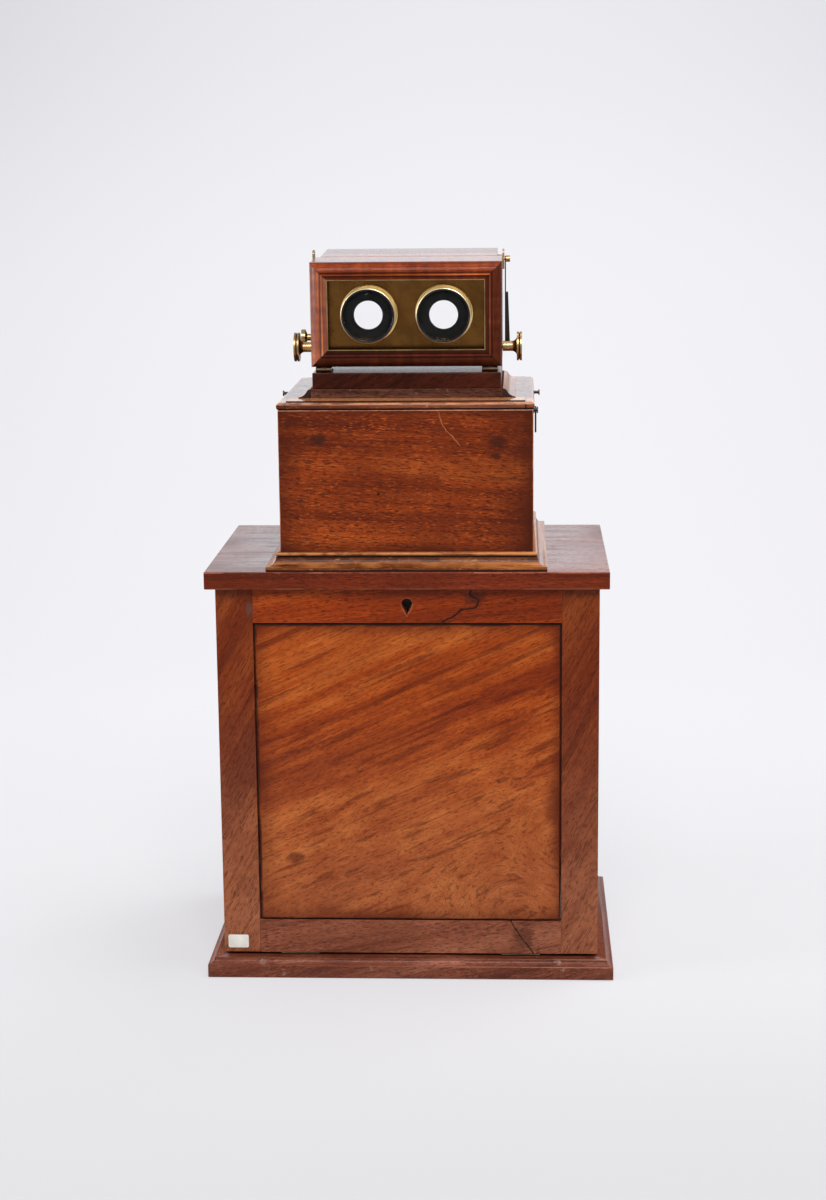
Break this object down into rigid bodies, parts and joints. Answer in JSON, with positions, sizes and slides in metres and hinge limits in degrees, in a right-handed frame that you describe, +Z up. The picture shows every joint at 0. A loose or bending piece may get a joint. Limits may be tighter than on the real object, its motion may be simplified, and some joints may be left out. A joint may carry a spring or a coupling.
{
  "type": "table stereoscope on a card cabinet",
  "caption": "Table stereoscope: a tilting viewer head with paired eyepieces and rack focus on a lift-off lid, a packing case and a fall-front card cabinet.",
  "frame": {"origin": "middle of the plinth's foot", "axes": "+X to the right of someone at the eyepieces, +Y away from them, +Z up"},
  "size_m": [0.424, 0.295, 0.7456],
  "materials": {
    "mahogany": "worn french polish",
    "plain_wood": "bare, darkened with age",
    "ebonised_wood": "black polish",
    "brass": "lacquered and tarnished",
    "iron": "dark, lightly rusted",
    "black_stop": "dull black",
    "lens_glass": "polished",
    "ground_glass": "ground on one face",
    "mirror": "silvered"
  },
  "bodies": {
    "cabinet": {"plinth_front": "mahogany", "plinth_back": "mahogany", "plinth_sides": "mahogany", "cabinet_floor": "plain_wood", "cabinet_sides": "mahogany", "cabinet_back": "plain_wood", "cabinet_top": "mahogany", "card_shelves": "plain_wood", "card_divider": "plain_wood", "door_hinge_fixed_leaves": "brass", "case_base_long": "mahogany", "case_base_sides": "mahogany", "case_front": "mahogany", "case_back": "mahogany", "case_sides": "mahogany", "case_floor": "plain_wood", "hook_screws": "iron"},
    "door": {"door_stiles": "mahogany", "door_top_rail": "mahogany", "door_bottom_rail": "mahogany", "door_panel": "mahogany", "door_hinge_leaves": "brass", "lock_case": "iron"},
    "bolt": {"lock_bolt": "iron"},
    "hook_left": {"latch_hook_left": "iron"},
    "hook_right": {"latch_hook_right": "iron"},
    "lid": {"lid_board": "mahogany", "lid_core": "plain_wood", "lid_ogee_sides": "mahogany", "lid_ogee_back": "mahogany", "latch_pins": "brass", "tilt_board": "mahogany", "tilt_hinge_board_leaves": "brass", "tilt_quadrant": "brass"},
    "head": {"head_floor": "mahogany", "head_left_wall": "mahogany", "head_right_wall": "mahogany", "head_top_strip": "mahogany", "head_back_frame": "mahogany", "ground_glass": "ground_glass", "septum": "plain_wood", "front_frame": "mahogany", "tilt_hinge_head_leaves": "brass", "flap_ears": "brass", "shaft_bushes": "brass"},
    "carriage": {"lens_plate": "brass", "lens_tubes": "brass", "lens_stops": "black_stop", "lenses": "lens_glass", "focus_racks": "brass"},
    "focus_shaft": {"focus_shaft": "iron", "focus_pinions": "brass", "focus_knobs": "brass"},
    "flap": {"reflector_flap": "mahogany", "reflector_mirror": "mirror", "flap_pivots": "brass", "flap_lever": "iron", "lever_grip": "ebonised_wood", "lever_nut": "brass"},
    "clamp": {"tilt_clamp_knob": "brass"}
  },
  "joints": [
    {"name": "front_fall", "type": "hinge", "parent": "cabinet", "child": "door", "pos_m": [0, -0.1304, 0.0213], "axis": [1, 0, 0], "range_deg": [0, 90]},
    {"name": "bolt_throw", "type": "slide", "parent": "door", "child": "bolt", "axis": [0, 0, 1], "range_m": [0, 0.006]},
    {"name": "hook_left_swing", "type": "hinge", "parent": "cabinet", "child": "hook_left", "pos_m": [-0.1315, 0, 0.57895], "axis": [1, 0, 0], "range_deg": [0, 180]},
    {"name": "hook_right_swing", "type": "hinge", "parent": "cabinet", "child": "hook_right", "pos_m": [0.1315, 0, 0.57895], "axis": [1, 0, 0], "range_deg": [0, 180]},
    {"name": "lid_lift", "type": "slide", "parent": "cabinet", "child": "lid", "axis": [0, 0, 1], "range_m": [0, 0.06]},
    {"name": "head_tilt", "type": "hinge", "parent": "lid", "child": "head", "pos_m": [0, -0.085, 0.63085], "axis": [1, 0, 0], "range_deg": [-2.5, 30]},
    {"name": "focus_turn", "type": "hinge", "parent": "head", "child": "focus_shaft", "pos_m": [0, -0.05185, 0.65107], "axis": [-1, 0, 0], "range_deg": [-59.8, 107.6]},
    {"name": "lens_slide", "type": "slide", "parent": "head", "child": "carriage", "axis": [0, 0.999, 0.0436], "range_m": [-0.005, 0.009]},
    {"name": "flap_lift", "type": "hinge", "parent": "head", "child": "flap", "pos_m": [0, -0.02474, 0.73843], "axis": [1, 0, 0], "range_deg": [0, 70]},
    {"name": "clamp_turn", "type": "hinge", "parent": "head", "child": "clamp", "pos_m": [-0.1, 0.00803, 0.65612], "axis": [-1, 0, 0], "range_deg": [-180, 180]}
  ],
  "couplings": [
    {"joint": "focus_turn", "follows": "lens_slide", "rad_per_m": 208.33}
  ]
}
